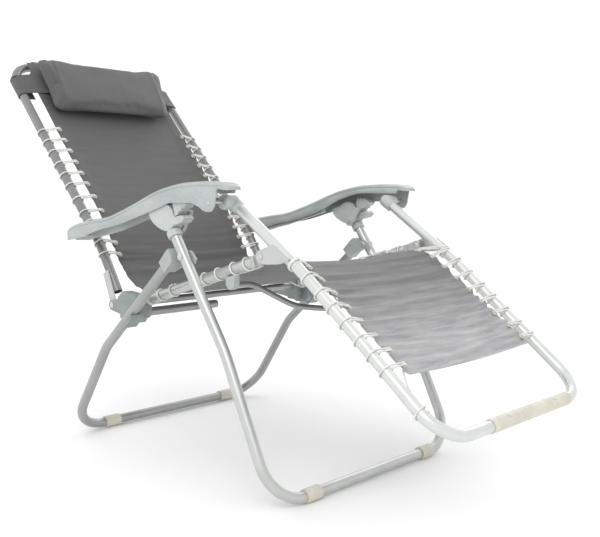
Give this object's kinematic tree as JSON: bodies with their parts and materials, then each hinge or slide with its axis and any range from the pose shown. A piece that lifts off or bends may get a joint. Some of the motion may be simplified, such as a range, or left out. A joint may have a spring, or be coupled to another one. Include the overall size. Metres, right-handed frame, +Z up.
{
  "type": "zero gravity recliner",
  "caption": "Folding zero gravity recliner: two U-shaped tube leg frames, tilting back and footrest frames with a laced mesh sling, sliding armrests with locks, head pillow.",
  "frame": {"origin": "on the floor, under the middle of the bounding box", "axes": "+X towards the feet, +Y to the sitter's left, +Z up"},
  "size_m": [1.4782, 0.626, 0.9583],
  "materials": {
    "painted_tube": "gloss silver-white powder coat",
    "grey_plastic": "satin",
    "pale_plastic": "satin",
    "rivet_steel": "satin",
    "mesh_fabric": "woven"
  },
  "bodies": {
    "rear_legs_and_seat": {"rear_leg_frame": "painted_tube", "rear_crossbar": "painted_tube", "second_crossbar": "painted_tube", "bow_crossbar": "painted_tube", "seat_sling": "mesh_fabric", "rear_leg_end_right": "grey_plastic", "rear_leg_end_left": "grey_plastic", "rear_foot_sleeve_right": "pale_plastic", "rear_foot_sleeve_left": "pale_plastic", "corner_block_right": "grey_plastic", "corner_block_left": "grey_plastic", "bow_clip_right": "grey_plastic", "bow_clip_left": "grey_plastic", "seat_tube_right": "painted_tube", "seat_tube_left": "painted_tube", "seat_tube_end_right": "painted_tube", "seat_tube_end_left": "painted_tube"},
    "front_legs": {"front_leg_frame": "painted_tube", "front_foot_sleeve_right": "pale_plastic", "front_foot_sleeve_left": "pale_plastic", "hub_right": "grey_plastic", "hub_left": "grey_plastic", "hub_collar_right": "grey_plastic", "hub_collar_left": "grey_plastic", "hub_jaw_right": "grey_plastic", "hub_jaw_left": "grey_plastic", "lever_stud_right": "rivet_steel", "lever_stud_left": "rivet_steel", "leg_pivot_rivet_right": "rivet_steel", "leg_pivot_rivet_left": "rivet_steel"},
    "back": {"back_frame": "painted_tube", "back_sling": "mesh_fabric", "head_pillow": "mesh_fabric", "back_pivot_plate_right": "painted_tube", "back_pivot_plate_left": "painted_tube", "back_pivot_rivet_right": "rivet_steel", "back_pivot_rivet_left": "rivet_steel", "armrest_rear_pin_right": "rivet_steel", "armrest_rear_pin_left": "rivet_steel"},
    "footrest": {"footrest_frame": "painted_tube", "footrest_sling": "mesh_fabric", "footrest_end_cover": "pale_plastic", "knee_plate_right": "painted_tube", "knee_plate_left": "painted_tube", "knee_rivet_right": "rivet_steel", "knee_rivet_left": "rivet_steel", "footrest_fitting_right": "grey_plastic", "footrest_fitting_left": "grey_plastic", "armrest_front_pin_right": "rivet_steel", "armrest_front_pin_left": "rivet_steel"},
    "arm_right": {"armrest_right": "grey_plastic", "armrest_rail_right": "grey_plastic"},
    "arm_left": {"armrest_left": "grey_plastic", "armrest_rail_left": "grey_plastic"},
    "lever_right": {"lock_lever_right": "grey_plastic"},
    "lever_left": {"lock_lever_left": "grey_plastic"}
  },
  "joints": [
    {"name": "leg_fold", "type": "hinge", "parent": "rear_legs_and_seat", "child": "front_legs", "pos_m": [0.11135, 0, 0.4705], "axis": [0, 1, 0], "range_deg": [0, 68]},
    {"name": "recline", "type": "hinge", "parent": "rear_legs_and_seat", "child": "back", "pos_m": [-0.19805, 0, 0.3325], "axis": [0, 1, 0], "range_deg": [0, 26]},
    {"name": "footrest_swing", "type": "hinge", "parent": "rear_legs_and_seat", "child": "footrest", "pos_m": [0.30095, 0, 0.4825], "axis": [0, 1, 0], "range_deg": [0, 36.2]},
    {"name": "armrest_swing_right", "type": "hinge", "parent": "footrest", "child": "arm_right", "pos_m": [0.20695, -0.2835, 0.5835], "axis": [0, 1, 0], "range_deg": [-37.3, 0]},
    {"name": "armrest_swing_left", "type": "hinge", "parent": "footrest", "child": "arm_left", "pos_m": [0.20695, 0.2835, 0.5835], "axis": [0, 1, 0], "range_deg": [-37.3, 0]},
    {"name": "lock_lever_right", "type": "hinge", "parent": "front_legs", "child": "lever_right", "pos_m": [0.07195, -0.27, 0.526], "axis": [0, 1, 0], "range_deg": [0, 40]},
    {"name": "lock_lever_left", "type": "hinge", "parent": "front_legs", "child": "lever_left", "pos_m": [0.07195, 0.27, 0.526], "axis": [0, 1, 0], "range_deg": [0, 40]}
  ],
  "couplings": [
    {"joint": "footrest_swing", "follows": "recline", "ratio": 1.3905},
    {"joint": "armrest_swing_right", "follows": "recline", "ratio": -1.432},
    {"joint": "armrest_swing_left", "follows": "recline", "ratio": -1.432}
  ]
}
